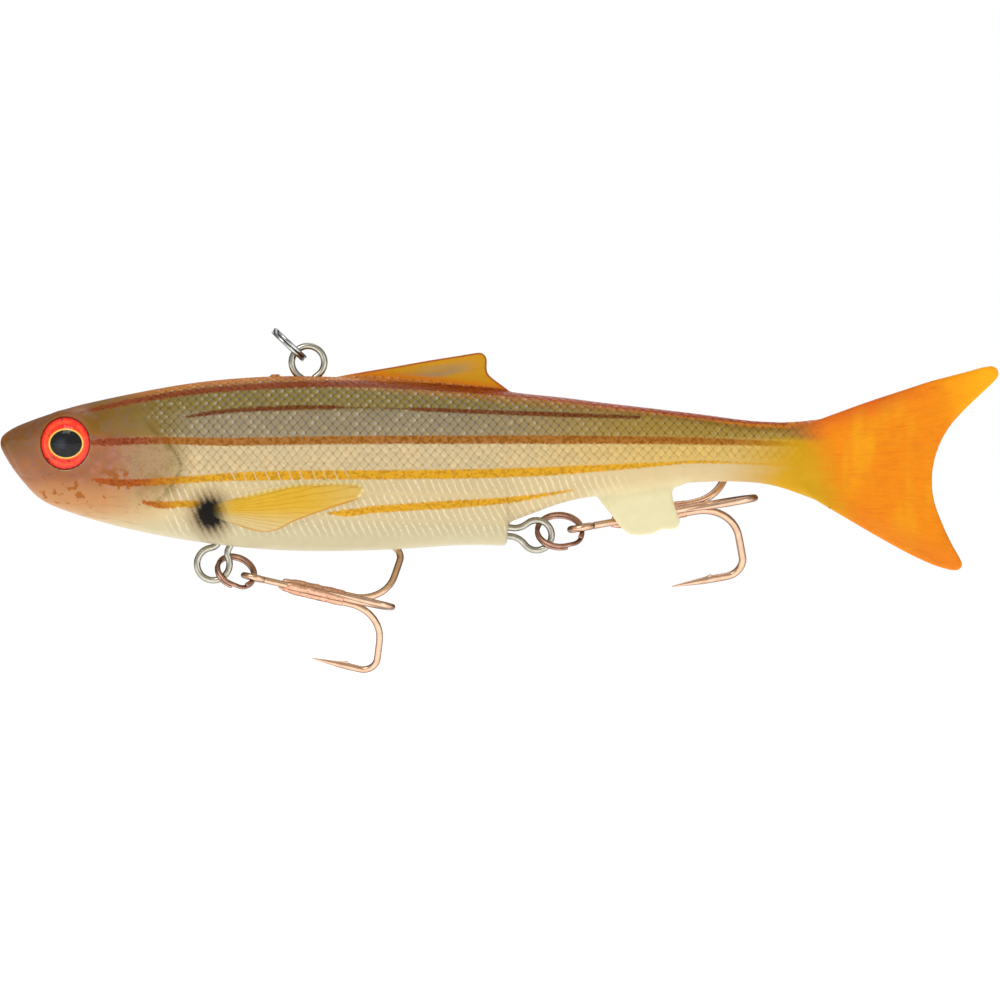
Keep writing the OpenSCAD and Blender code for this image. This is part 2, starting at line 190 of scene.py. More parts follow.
class Flow:
    def __init__(self, finish, socket):
        self.finish = finish
        self.socket = socket

    def math(self, operation, *others):
        return self.finish.node("Math", {"operation": operation}, dict(enumerate((self, *others))))

    def __add__(self, other): return self.math("ADD", other)
    def __sub__(self, other): return self.math("SUBTRACT", other)
    def __mul__(self, other): return self.math("MULTIPLY", other)
    def __truediv__(self, other): return self.math("DIVIDE", other)
    def __radd__(self, other): return self.math("ADD", other)
    def __rsub__(self, other): return (self * -1).math("ADD", other)
    def __abs__(self): return self.math("ABSOLUTE")
    def least(self, other): return self.math("MINIMUM", other)
    def most(self, other): return self.math("MAXIMUM", other)
    def part(self): return self.math("FRACT")
    def whole(self): return self.math("FLOOR")

    def ease(self, low, high):  # 0 under low, 1 over high; turned round where low is the larger
        if low > high:
            return 1 - self.ease(high, low)
        return self.finish.node("MapRange", {"interpolation_type": "SMOOTHSTEP"},
                                {"Value": self, "From Min": low, "From Max": high})


class Finish:
    def __init__(self, name, **constants):
        self.material = bpy.data.materials.new(name)
        self.material.use_nodes = True
        self.tree = self.material.node_tree
        self.shader = self.tree.nodes["Principled BSDF"]
        self.out = self.tree.nodes["Material Output"]
        self.set(**constants)

    def node(self, kind, settings=None, inputs=None, out=0):
        made = self.tree.nodes.new("ShaderNode" + kind)
        for key, value in (settings or {}).items():
            if key == "stops":
                ramp = made.color_ramp
                while len(ramp.elements) < len(value):
                    ramp.elements.new(0.5)
                for stop, (place, colour) in zip(ramp.elements, value):
                    stop.position = place
                    stop.color = colour
            else:
                setattr(made, key, value)
        for key, value in (inputs or {}).items():
            self.feed(made.inputs[key], value)
        return Flow(self, made.outputs[out])

    def feed(self, socket, value):
        if isinstance(value, Flow):
            self.tree.links.new(value.socket, socket)
        else:
            socket.default_value = value

    def set(self, **values):  # Base_Color=..., Roughness=...
        for key, value in values.items():
            self.feed(self.shader.inputs[key.replace("_", " ")], value)

    def mix(self, first, second, share):  # colours
        return self.node("Mix", {"data_type": "RGBA"}, {0: share, 6: first, 7: second}, 2)

    def shade(self, colour, share):  # a colour times a number
        plain = colour if isinstance(colour, Flow) else colour[:3]
        return self.node("VectorMath", {"operation": "SCALE"}, {0: plain, 3: share})

    def own(self, name, vector=False):  # what keep() put on the mesh
        return self.node("Attribute", {"attribute_name": name}, out=1 if vector else 2)

    def place(self):
        return self.node("TexCoord", out=3)

    def axes(self, vector):
        made = self.node("SeparateXYZ", {}, {0: vector})
        return [Flow(self, s) for s in made.socket.node.outputs]

    def point(self, x, y, z):
        return self.node("CombineXYZ", {}, {0: x, 1: y, 2: z})

    def noise(self, vector, scale, detail=2.0, roughness=0.5):
        return self.node("TexNoise", {}, {"Vector": vector, "Scale": scale, "Detail": detail,
                                          "Roughness": roughness})

    def bump(self, height, distance, strength):
        return self.node("Bump", {}, {"Height": height, "Distance": distance, "Strength": strength})


# soft body
softBody = {
    "sides": 32,
    "squareness": 0.88,
    "backTop": 1.9,          # the back's top is this far under the line tie's centre
    "voxel": 0.28 * mm,
    "smoothing": 5,
    # place along the body, back and belly under the back's top, half width
    "sections": [
        (-46.2, -9.5, -10.8, 0.6), (-45.4, -8.7, -12.2, 1.7), (-44.2, -7.9, -14.2, 2.7),
        (-42.6, -7.2, -16.2, 3.7), (-40.2, -6.3, -18.9, 4.7), (-37.2, -5.3, -20.1, 5.6),
        (-34.2, -4.4, -21.2, 6.4), (-28.2, -3.1, -22.9, 7.6), (-22.2, -1.9, -24.2, 8.4),
        (-16.2, -0.9, -25.2, 8.8), (-7.2, -0.1, -26.3, 9.0), (1.8, 0.0, -26.6, 8.9),
        (13.8, -0.8, -26.3, 8.1), (22.5, -1.7, -25.5, 7.2), (27.5, -2.1, -25.6, 6.6),
        (29.4, -2.35, -25.7, 6.3), (29.9, -2.4, -25.7, 6.2), (30.0, -2.4, -22.2, 6.2),
        (30.6, -2.5, -22.0, 6.1), (33.0, -2.8, -21.1, 5.8), (36.0, -3.1, -19.9, 5.4),
        (39.0, -3.4, -18.9, 5.0), (42.5, -3.9, -18.3, 4.6), (45.0, -4.2, -18.0, 4.3),
        (52.0, -5.0, -17.0, 3.6), (56.0, -5.5, -16.3, 3.2), (59.5, -5.9, -16.0, 2.9),
        (65.5, -6.8, -16.0, 2.4), (69.0, -7.0, -16.4, 2.1), (72.0, -7.1, -17.2, 1.85),
        (76.5, -6.6, -19.0, 1.4), (80.0, -6.1, -20.4, 1.0), (84.0, -5.6, -21.6, 0.7),
        (88.0, -5.2, -22.6, 0.45)],
    "dorsal": [(3, -1), (4.7, -0.2), (12.7, 1.2), (17.7, 2.1), (22.7, 2.9), (25.1, 3.3), (26.1, 3.3),
               (26.8, 2.5), (26.8, 1.0), (27.1, 0.0), (28.6, -1.2), (30.2, -2.5), (30.2, -4), (3, -4)],
    "anal": [(43.3, -16.5), (43.5, -18.2), (44.4, -19.6), (45.4, -20.8), (46.8, -22.7), (48.2, -23.8),
             (49.7, -24.0), (51.6, -23.8), (53.2, -23.1), (54.3, -23.2), (55.3, -22.9), (55.8, -21.9),
             (55.2, -20.2), (54.7, -18.5), (54.8, -17.0), (56.6, -16.2), (56.6, -14), (43.3, -14)],
    "tail": [(70.5, -10.0), (73.5, -7.9), (76.5, -6.75), (80, -5.45), (84.6, -3.8), (89.2, -2.3),
             (93.8, -0.8), (98.4, 0.4), (101.3, 1.2), (102.9, 1.3), (103.6, 0.4), (103.2, -0.7),
             (100.7, -3.1), (98.4, -5.3), (96.3, -7.7), (94.7, -10.5), (93.8, -13.5), (93.6, -16.5),
             (94, -19.2), (95.1, -22.2), (96.5, -25.2), (97.9, -27.7), (98.1, -28.7), (97.4, -29.3),
             (96.1, -29.2), (93.8, -28.5), (90.3, -26.9), (85.7, -24.4), (81.1, -21.7), (77.7, -19.7),
             (74.5, -17.6), (71.0, -14.5)],
    "dorsalThickness": 1.3,
    "analThickness": 1.4,
    "tailThickness": 3.0,    # as cut out, before it is thinned toward its end
    "tailHalf": [(70, 1.2), (74, 1.4), (78, 1.17), (84, 0.86), (92, 0.61), (104, 0.42)],
}


def power(value, e):
    return math.copysign(abs(value) ** e, value)


def bodyTube():
    sides, squareness, down = softBody["sides"], softBody["squareness"], softBody["backTop"]
    x, top, low, half = softBody["sections"][0]
    bpy.ops.mesh.primitive_circle_add(vertices=sides, radius=1, fill_type="NGON")
    tube = named("softSkin")
    middle, tall = (top + low) / 2 - down, (top - low) / 2
    for i, v in enumerate(tube.data.vertices):
        a = 2 * math.pi * i / sides
        v.co = (x * mm, half * power(math.cos(a), squareness) * mm,
                (middle + tall * power(math.sin(a), squareness)) * mm)
    openEdit(tube)
    for nextX, nextTop, nextLow, nextHalf in softBody["sections"][1:]:
        nextMiddle, nextTall = (nextTop + nextLow) / 2 - down, (nextTop - nextLow) / 2
        bpy.ops.mesh.extrude_region_move(TRANSFORM_OT_translate={
            "value": ((nextX - x) * mm, 0, (nextMiddle - middle) * mm)})
        bpy.ops.transform.resize(value=(1, nextHalf / half, nextTall / tall),
                                 center_override=(nextX * mm, 0, nextMiddle * mm))
        x, middle, tall, half = nextX, nextMiddle, nextTall, nextHalf
    bpy.ops.mesh.select_all(action="SELECT")
    bpy.ops.mesh.normals_make_consistent(inside=False)
    closeEdit()
    applyModifier(tube, "SUBSURF", levels=2, render_levels=2)
    return tube


def finPlate(name, outline, thickness, taper=None):
    line = rounded(outline, 4) - np.array([0, softBody["backTop"]])
    bpy.ops.mesh.primitive_circle_add(vertices=len(line), radius=1, fill_type="NGON")
    fin = named(name)
    for v, (x, z) in zip(fin.data.vertices, line):
        v.co = (x * mm, -thickness / 2 * mm, z * mm)
    openEdit(fin)
    bpy.ops.mesh.extrude_region_move(TRANSFORM_OT_translate={"value": (0, thickness * mm, 0)})
    bpy.ops.mesh.select_all(action="SELECT")
    bpy.ops.mesh.normals_make_consistent(inside=False)
    if taper:
        for x in np.arange(line[:, 0].min() + 1, line[:, 0].max(), 1.0):
            bpy.ops.mesh.select_all(action="SELECT")
            bpy.ops.mesh.bisect(plane_co=(x * mm, 0, 0), plane_no=(1, 0, 0))
    closeEdit()
    if taper:
        points = getPoints(fin)
        share = np.interp(points[:, 0] / mm, *zip(*taper)) / (thickness / 2)
        points[:, 1] *= share
        setPoints(fin, points)
    return fin


def softSkin():
    tube = bodyTube()
    fins = [finPlate("dorsal", softBody["dorsal"], softBody["dorsalThickness"]),
            finPlate("anal", softBody["anal"], softBody["analThickness"]),
            finPlate("tail", softBody["tail"], softBody["tailThickness"], softBody["tailHalf"])]
    pickOnly(tube, *fins)
    bpy.ops.object.join()
    applyModifier(tube, "REMESH", mode="VOXEL", voxel_size=softBody["voxel"], use_smooth_shade=True)
    applyModifier(tube, "SMOOTH", factor=0.5, iterations=softBody["smoothing"])
    return tube


skin = softSkin()
print("soft body moulded,", len(skin.data.vertices), "points")


# relief and paint lines of the soft body, in mm
relief = {
    "pectoral": [(-14.3, -21.7), (-12.2, -20.9), (-9.6, -20.1), (-5.8, -19.2), (-2.0, -18.4),
                 (1.8, -18.15), (5.7, -18.1), (7.6, -18.3), (8.4, -18.9), (8.2, -19.6), (7.2, -20.6),
                 (3.8, -21.7), (0.9, -22.7), (-2.0, -23.8), (-3.9, -24.8), (-5.8, -25.3), (-7.7, -25.1),
                 (-11.0, -24.1), (-13.6, -23.2)],
    "pectoralRise": 0.5,
    "scallop": (0.12, 0.95),   # rise and pitch of the beads along the fin's upper edge
    "finBase": (-15.5, -22.4),
    "gill": [(-24.2, -8.4), (-22.4, -10.4), (-20.9, -11.8), (-19.4, -13.5), (-18.7, -14.9),
             (-18.9, -16.7), (-20.3, -18.9), (-21.6, -20.4), (-24.6, -22.6)],
    "gillGroove": (0.22, 0.28),  # depth and half width
    "coverRise": 0.17,
    "mouth": [(-46.0, -11.4), (-44.9, -13.4), (-43.9, -15.3), (-42.9, -17.0), (-41.0, -17.5)],
    "mouthGroove": (0.16, 0.22),
    "nub": (-4.9, 0.32),       # place and rise of the small stud on the back
    "moulding": 0.13 * mm,     # height of the finest moulding, which the paint carries
    "eyeLevel": 0.34,          # how far the skin round the eye stands over the middle of the print
}

paintLines = {
    # the middle of each line, and half its width; a half under nothing leaves the line out
    "backLine": {
        "path": [(-33.8, -7.6), (-23.9, -5.5), (-11.4, -4.0), (3.5, -3.3), (16.0, -3.6), (31.8, -4.7),
                 (45.0, -6.2), (60.0, -8.0), (72.0, -9.3)],
        "half": [(-33.8, 0.12), (-30, 0.35), (-10, 0.42), (20, 0.55), (40, 0.6), (66, 0.5), (74, 0)]},
    "thinLine": {
        "path": [(-18.5, -8.4), (-11.4, -7.4), (-1.4, -6.9), (6.5, -6.9), (15.5, -7.1), (23.3, -7.4),
                 (49.8, -8.3)],
        "half": [(-18.5, 0.05), (-15, 0.3), (3.5, 0.32), (6, 0.05), (14, 0.02), (17, 0.26), (24, 0.3),
                 (38, 0.34), (50, 0.2)]},
    "sideLine": {
        "path": [(-32.2, -12.1), (-20.9, -11.8), (-11.7, -12.0), (10.8, -11.7), (49.8, -11.7),
                 (70.2, -12.2), (76, -12.6)],
        "half": [(-32.2, 0.3), (-29, 0.55), (-24, 0.5), (-12, 0.58), (40, 0.6), (60, 0.5), (76, 0.25)]},
    "goldLine": {
        "path": [(-32.0, -17.6), (-27, -18.1), (-20.0, -17.8), (-11.7, -17.25), (0.0, -16.95),
                 (10.8, -16.9), (30.7, -16.6), (49.8, -15.5), (58.8, -14.95), (71.0, -15.4)],
        "half": [(-32.0, 0.15), (-29, 0.5), (-14, 0.5), (-8, 0.66), (34, 0.66), (47, 0.42), (54, 0.24),
                 (60, 0.17), (71, 0.08)]},
    "lowLine": {
        "path": [(-24.4, -20.9), (-21.5, -21.4), (-15.5, -21.3), (3.2, -22.6), (10.8, -22.0),
                 (23.3, -21.2), (30.7, -20.6), (39.6, -19.2)],
        "half": [(-24.4, 0.2), (-22, 0.5), (-16, 0.5), (-15, -1.5), (2.6, -1.5), (3.2, 0.1), (5.5, 0.5),
                 (22, 0.58), (31, 0.42), (39.6, 0.1)]},
}


def bodyRow(x):  # back, belly and half width at each place, the step under the belly left out
    table = np.array([row for row in softBody["sections"] if not 23 < row[0] < 35])
    back, belly, half = [np.interp(x, table[:, 0], table[:, k]) for k in (1, 2, 3)]
    return back - softBody["backTop"], belly - softBody["backTop"], half


def aroundBody(p):  # how far each point lies from the middle of the flank, measured over the skin
    top, low, half = bodyRow(p[:, 0])
    middle, tall = (top + low) / 2, (top - low) / 2
    share = np.clip((p[:, 2] - middle) / tall, -1, 1)
    end = np.arcsin(np.abs(share) ** (1 / softBody["squareness"]))
    steps = 24
    length = np.zeros(len(p))
    y0, z0 = half, np.zeros(len(p))
    for i in range(1, steps + 1):
        a = end * i / steps
        y1 = half * np.cos(a) ** softBody["squareness"]
        z1 = tall * np.sin(a) ** softBody["squareness"]
        length += np.hypot(y1 - y0, z1 - z0)
        y0, z0 = y1, z1
    past = np.maximum(p[:, 2] - top, 0) + np.minimum(p[:, 2] - low, 0)
    return np.sign(share) * length + past


def eyeSpot(side):  # middle of the eye's print and the way it looks, from the CAD foil
    low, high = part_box("eye_foil_left" if side < 0 else "eye_foil_right")
    turn = math.radians(eyes["toeIn"])
    return (low + high) / 2, Vector((-math.sin(turn), side * math.cos(turn), 0))


eyes = {
    "toeIn": 17,
    "across": 7.9 * mm, "thick": 0.5 * mm, "rise": 1.5 * mm,
    "play": 0.05 * mm, "cut": 8 * mm,      # round the print in its socket; length of the socket's cutter
    "rings": 5, "ringStep": 0.62 * mm,     # printed rings inset in the disc
    "printEdge": 0.08 * mm, "domeEdge": 0.06 * mm,
}


def sculptSkin():
    p = getPoints(skin) / mm
    normal = getPoints(skin, "normal")
    flat = p[:, [0, 2]]
    flank = ease(np.abs(p[:, 1]), 1.2, 2.6)
    push = np.zeros(len(p))
    outline = rounded(relief["pectoral"], 5)
    edge, along, _ = awayFrom(flat, outline, closed=True)
    within = inside(flat, outline)
    edge = np.where(within, edge, -edge)
    onFin = relief["pectoralRise"] * ease(flat[:, 0], -14, -6)
    beadRise, beadPitch = relief["scallop"]
    scallop = 0.5 + 0.5 * np.cos(along * 2 * np.pi / beadPitch)
    push += flank * onFin * ease(edge, -0.1, 0.45)
    push -= flank * 0.1 * np.exp(-((edge + 0.35) / 0.3) ** 2) * ease(flat[:, 0], -11.5, -7)
    beads = ease(edge, -0.25, 0.1) * ease(-edge, -0.7, -0.35) * (flat[:, 1] > -20.2)
    push += flank * beadRise * scallop * beads
    gill, gillAlong, gillSide = awayFrom(flat, rounded(relief["gill"], 5, closed=False))
    fade = ease(gillAlong, 0, 2.5) * ease(-gillAlong, -16.5, -13)
    deep, wide = relief["gillGroove"]
    push -= flank * fade * deep * np.exp(-(gill / wide) ** 2)
    cover = relief["coverRise"] * np.exp(-gill / 2.2) * ease(gill, 0.1, 0.5)
    push += flank * fade * np.where(gillSide < 0, cover, 0)
    deep, wide = relief["mouthGroove"]
    mouth = awayFrom(flat, rounded(relief["mouth"], 5, closed=False))[0]
    push -= ease(np.abs(p[:, 1]), 0.2, 0.8) * deep * np.exp(-(mouth / wide) ** 2)
    nubX, nubRise = relief["nub"]
    nubArea = ease(-np.abs(p[:, 0] - nubX), -0.9, -0.5) * (np.abs(p[:, 1]) < 1.2)
    push += nubRise * (ease(normal[:, 2], 0.8, 0.97) * nubArea)
    for side in (-1, 1):
        middle, look = eyeSpot(side)
        off = p - np.array(middle) / mm
        out = off @ np.array(look)
        apart = np.linalg.norm(off - out[:, None] * np.array(look), axis=1)
        near = (np.abs(out) < 3) * (1 - ease(apart, 4.3, 6.0))
        p += (near * (relief["eyeLevel"] - out))[:, None] * np.array(look)
    setPoints(skin, (p + normal * push[:, None]) * mm)
    base = np.array(relief["finBase"])
    keep(skin, "rest", p)
    keep(skin, "around", aroundBody(p))
    keep(skin, "finEdge", np.where(flank > 0.5, edge, -9))
    keep(skin, "finTurn", np.degrees(np.arctan2(flat[:, 1] - base[1], flat[:, 0] - base[0])))
    keep(skin, "finAlong", along)
    keep(skin, "gillEdge", gill * gillSide)
    outer = rounded([(x, z - softBody["backTop"]) for x, z in softBody["dorsal"][:-2]], 4, closed=False)
    keep(skin, "dorsalRim", awayFrom(flat, outer)[0])
    for name, line in paintLines.items():
        path = np.array(line["path"])
        middle = np.interp(p[:, 0], *rounded(path, 6, closed=False).T)
        half = np.interp(p[:, 0], *zip(*line["half"]))
        past = np.maximum(path[0, 0] - p[:, 0], 0) + np.maximum(p[:, 0] - path[-1, 0], 0)
        keep(skin, name, np.hypot(np.maximum(np.abs(p[:, 2] - middle) - half, -5), past)
             * np.where((np.abs(p[:, 2] - middle) < half) & (past == 0), -1, 1))
        if name == "goldLine":
            keep(skin, "overGold", p[:, 2] - middle)
        if name == "sideLine":
            keep(skin, "overSide", p[:, 2] - middle)
    keep(skin, "overBack", p[:, 2] - bodyRow(p[:, 0])[0])


def eyeSockets():
    for side in (-1, 1):
        middle, look = eyeSpot(side)
        out = eyes["cut"] / 2 - eyes["thick"] * 0.55  # the socket is a little deeper than the print's back
        bpy.ops.mesh.primitive_cylinder_add(vertices=96, radius=eyes["across"] / 2 + eyes["play"],
                                            depth=eyes["cut"], location=middle + look * out,
                                            rotation=look.to_track_quat("Z", "Y").to_euler())
        cutter = settle(named("socketCutter"))
        applyModifier(skin, "BOOLEAN", object=cutter, operation="DIFFERENCE", solver="EXACT")
        bpy.data.objects.remove(cutter)


sculptSkin()
eyeSockets()
print("skin sculpted and painted out")


# the skin in the lengths that bend
lengths = [
    # piece, start, end, body or the two that it bends between, start and end of the bend, CAD nodes, slot
    ("skinFront", -90, 38.4, ["lure_body"], None, ["body_skin"], "soft_body"),
    ("skinRoot", 38.4, 56.4, ["lure_body", "tail_root_body"], (38.6, 51.4), ["tail_root"], "soft_body"),
    ("skinStem", 56.4, 66.2, ["tail_root_body", "tail_stem_body"], (56.5, 62.5), ["tail_stem"],
     "soft_tail"),
    ("skinWrist", 66.2, 78.2, ["tail_stem_body", "tail_fin_body"], (66.4, 77.6), [], "soft_tail"),
    ("skinTail", 78.2, 140, ["tail_fin_body"], None, ["tail_fin"], "soft_tail"),
]


def skinLength(name, start, stop):
    piece = skin.copy()
    piece.data = skin.data.copy()
    piece.name = piece.data.name = name
    bpy.context.scene.collection.objects.link(piece)
    for place, kind in ((start, "clear_inner"), (stop, "clear_outer")):
        if -80 < place < 130:
            openEdit(piece)
            bpy.ops.mesh.bisect(plane_co=(place * mm, 0, 0), plane_no=(1, 0, 0), use_fill=True,
                                **{kind: True})
            closeEdit()
    smoothShade(piece, 55)
    return piece


skinPieces = []
for name, start, stop, bodies, bend, nodes, slot in lengths:
    piece = skinLength(name, start, stop)
    skinPieces.append(piece)
    if len(bodies) == 2:
        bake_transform(piece)
    else:
        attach(piece, bodies[0])
    if nodes:
        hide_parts(*nodes)
bpy.data.objects.remove(skin)
print("skin cut into", len(lengths), "lengths")


# skin paint
skinColours = {
    "share": 0.86,               # the light adds this much back
    "cover": (176, 142, 100), "ridge": (176, 120, 40), "blush": (196, 128, 116), "vein": (118, 104, 112),
    "lineHead": (176, 84, 20),
    "edge": (224, 130, 14), "olive": (146, 124, 58), "grey": (161, 142, 106), "gold": (170, 138, 60),
    "cream": (215, 192, 147), "lower": (220, 196, 147), "belly": (202, 190, 152), "straw": (223, 183, 84),
    "backLine": (148, 60, 4), "backLineRear": (168, 62, 4), "thinLine": (120, 54, 4),
    "sideLine": (171, 103, 19), "sideLineHead": (150, 66, 30), "goldLine": (230, 168, 34),
    "snout": (128, 80, 38), "cheek": (168, 100, 62), "chin": (195, 134, 82), "crown": (138, 97, 29),
    "fleck": (164, 89, 18), "spot": (12, 5, 0), "fin": (222, 174, 46), "finLow": (216, 192, 132),
    # finTopHighlight is painted highlight and finEdgeShade painted shade, both on the pectoral fin's edge
    "finRay": (206, 140, 34), "finTopHighlight": (250, 226, 150), "finEdgeShade": (196, 140, 40),
    "tail": (248, 142, 14), "tailRed": (222, 98, 30), "tailYellow": (250, 164, 20),
    "wrist": (214, 160, 20),
    "dorsal": (214, 152, 22), "dorsalEdge": (176, 76, 30), "dorsalFold": (158, 138, 112),
    "lobe": (237, 227, 182),
}


def skinPaint():
    c = {k: tone(*v, share=skinColours["share"]) for k, v in skinColours.items() if k != "share"}
    f = Finish("skinPaint", IOR=1.46, Specular_IOR_Level=0.13)
    rest = f.own("rest", vector=True)
    x, y, z = f.axes(rest)
    around = f.own("around")
    overGold, overSide, overBack = f.own("overGold"), f.own("overSide"), f.own("overBack")
    finEdge, gill = f.own("finEdge"), f.own("gillEdge")
    grain = f.noise(rest, 3.2, 3.0)
    mottle = f.noise(rest, 0.55, 3.0)
    speck = f.noise(rest, 1.9, 2.0)
    streak = f.noise(f.point(x * 0.25, y, z * 2.2), 0.8, 3.0)
    wobble = (grain - 0.5) * 0.5

    # scales: two sets of slanted lines, each scale lying over the next one back
    warp = f.noise(rest, 0.35, 2.0) - 0.5
    across = x / 1.32 + warp * 0.5
    up = around / 1.52 + warp * 0.35
    one, two = (across + up), (across - up)
    fore, aft = one.part(), two.part()
    rise = fore.least(aft)
    wide, tall = abs(fore - 0.5) * 2, abs(aft - 0.5) * 2
    rim = (wide * wide * wide * wide + tall * tall * tall * tall).math("POWER", 0.25)
    groove = rim.ease(0.8, 1.04) * (0.55 + (1 - rise.ease(0.05, 0.3)) * 0.45)
    cell = f.node("TexWhiteNoise", {"noise_dimensions": "2D"},
                  {"Vector": f.point(one.whole(), two.whole(), 0)})
    notHead = (x + warp * 3).ease(-25.5, -21.5) * gill.ease(0.0, 1.2).most(x.ease(-19, -17))
    onBody = 1 - (x + overSide * -0.8).ease(71.5, 78.0)
    notFin = 1 - finEdge.ease(-0.15, 0.05)
    netArea = notHead * onBody * (overGold + wobble * 0.8).ease(0.3, 1.0) * (1 - overBack.ease(0.2, 0.8))
    net = groove * netArea

    # slanted strokes under the gold line
    slope = x * 0.906 + z * 0.423 + warp * 0.8
    stroke = abs((slope / 1.02).part() - 0.5).ease(0.22, 0.46)
    tier = 1 - abs(((z + x * 0.03 + 19.3) / 3.9).part() - 0.5).ease(0.38, 0.5)
    strokeArea = (x.ease(-22, -19) * (1 - x.ease(42, 50)) * (1 - overGold.ease(-0.9, -0.4))
                  * z.ease(-26.6, -24.6) * notFin)
    strokes = stroke * tier * strokeArea * grain.ease(0.3, 0.55)

    # the sprayed ground, from belly to back
    rear = x.ease(20, 62)
    colour = f.mix(c["belly"], c["lower"], z.ease(-26.5, -21))
    flank = f.mix(c["cream"], c["straw"], rear * 0.75)
    colour = f.mix(colour, flank, (overGold + wobble).ease(-0.6, 0.6))
    upper = f.mix(f.mix(c["grey"], c["gold"], x.ease(18, 52)), c["olive"], 1 - x.ease(-24, -14))
    colour = f.mix(colour, upper, (overSide + wobble).ease(0.1, 0.9))
    colour = f.mix(colour, c["olive"], (overSide + wobble * 2).ease(3.9, 5.0) * (1 - rear * 0.4))
    ridge = f.mix(c["ridge"], tone(140, 104, 36), rear)
    colour = f.mix(colour, ridge, (overBack + wobble * 1.2 - rear * 0.4).ease(-2.3, -1.4))
    colour = f.mix(colour, c["edge"], (overBack + wobble * 0.8).ease(-1.2, -0.5))

    # head
    headArea = 1 - (x + warp * 6 + streak * 2).ease(-30, -17)
    head = f.mix(c["cheek"], c["snout"], (1 - (x - z * 0.15).ease(-42, -35)) * z.ease(-16.5, -12))
    head = f.mix(head, c["crown"], (z + wobble).ease(-12.2, -9.6) * x.ease(-37, -31))
    head = f.mix(head, c["snout"], (z + x * -0.18).ease(-4.6, -2.0) * (1 - x.ease(-38, -33)))
    head = f.mix(head, c["chin"], 1 - z.ease(-20.5, -16.5))
    colour = f.mix(colour, head, headArea * z.ease(-26, -20.5) * 0.92)
    cover = (x + warp * 5).ease(-29, -25) * (1 - (x + warp * 3 + streak * 2).ease(-19.5, -15))
    cover = cover * z.ease(-23, -18) * (1 - overSide.ease(-1.0, 1.0)) * 0.8
    colour = f.mix(colour, f.mix(c["cover"], f.shade(c["olive"], 0.95), mottle.ease(0.45, 0.68)), cover)
    colour = f.mix(colour, tone(112, 92, 66), grain.ease(0.52, 0.68) * cover * 0.5)
    veins = abs(f.noise(rest, 0.42, 4.0, 0.6) - 0.5)
    onCheek = headArea * x.ease(-36, -31) * z.ease(-21, -17.5)
    blush = mottle.ease(0.42, 0.66) * onCheek * (1 - overSide.ease(-1.5, 1.5)) * 0.55
    colour = f.mix(colour, c["blush"], blush)
    colour = f.mix(colour, c["vein"], (1 - veins.ease(0.0, 0.045)) * headArea * z.ease(-20, -16) * 0.34)
    smear = streak.ease(0.5, 0.75) * headArea * x.ease(-38, -34) * 0.45
    colour = f.mix(colour, f.shade(head, 0.72), smear)
    colour = f.mix(colour, tone(112, 106, 104), grain.ease(0.5, 0.7) * x.ease(-31, -28) * headArea
                   * overSide.ease(1.0, 2.5) * (1 - overSide.ease(4.0, 5.5)) * 0.5)
    creaseShade = (1 - abs(gill).ease(0.1, 0.5)) * x.ease(-26, -24) * (1 - x.ease(-17, -16))
    creaseShade = creaseShade * z.ease(-22.5, -20)
    # darker along the gill crease: painted shade
    colour = f.mix(colour, f.shade(c["olive"], 0.7), creaseShade * grain.ease(0.3, 0.6) * 0.6)

    # scale shading
    dim = speck.ease(0.56, 0.7) * overSide.ease(0.5, 3.5)
    lift = 0.9 + cell * 0.1 + speck.ease(0.3, 0.7) * 0.16 - dim * 0.3
    colour = f.mix(colour, f.shade(colour, lift), netArea)
    dark = f.mix(f.shade(colour, 0.6), tone(70, 64, 44), overSide.ease(-0.2, 0.6) * 0.45)
    colour = f.mix(colour, dark, net * (0.85 + overSide.ease(-0.3, 0.6) * 0.1) * grain.ease(0.2, 0.5))
    ticks = wide.least(tall).ease(0.5, 0.8) * cell.ease(0.45, 0.7) * netArea
    ticks = ticks * (1 - overSide.ease(-0.4, 0.2))
    colour = f.mix(colour, tone(206, 144, 66), ticks * 0.5)
    glint = rise.ease(0.3, 0.8) * (1 - rise.ease(0.7, 1.0)) * netArea * overSide.ease(0.0, 0.8)
    colour = f.mix(colour, tone(184, 184, 178), glint * cell.ease(0.3, 1.0) * 0.6 * (1 - rear * 0.75))
    blueGlint = glint * cell.ease(0.75, 0.3) * 0.4 * (1 - rear) * x.ease(-22, -14)
    colour = f.mix(colour, tone(122, 140, 160), blueGlint)
    # pale strokes along the moulded ribs are painted highlight, and the darkening between them painted
    # shade
    colour = f.mix(colour, tone(236, 222, 190), strokes * 0.55)
    colour = f.mix(colour, f.shade(colour, 0.86), strokeArea * (1 - stroke) * tier * 0.5)

    # painted lines
    def line(name, ink, wander=0.16, share=1.0):
        mask = 1 - (f.own(name) + (grain - 0.5) * wander * 2 + (groove - 0.4) * 0.16).ease(-0.14, 0.12)
        marked = f.mix(ink, f.shade(ink, 0.62), speck.ease(0.46, 0.62) * 0.75)
        return f.mix(colour, marked, mask * share)

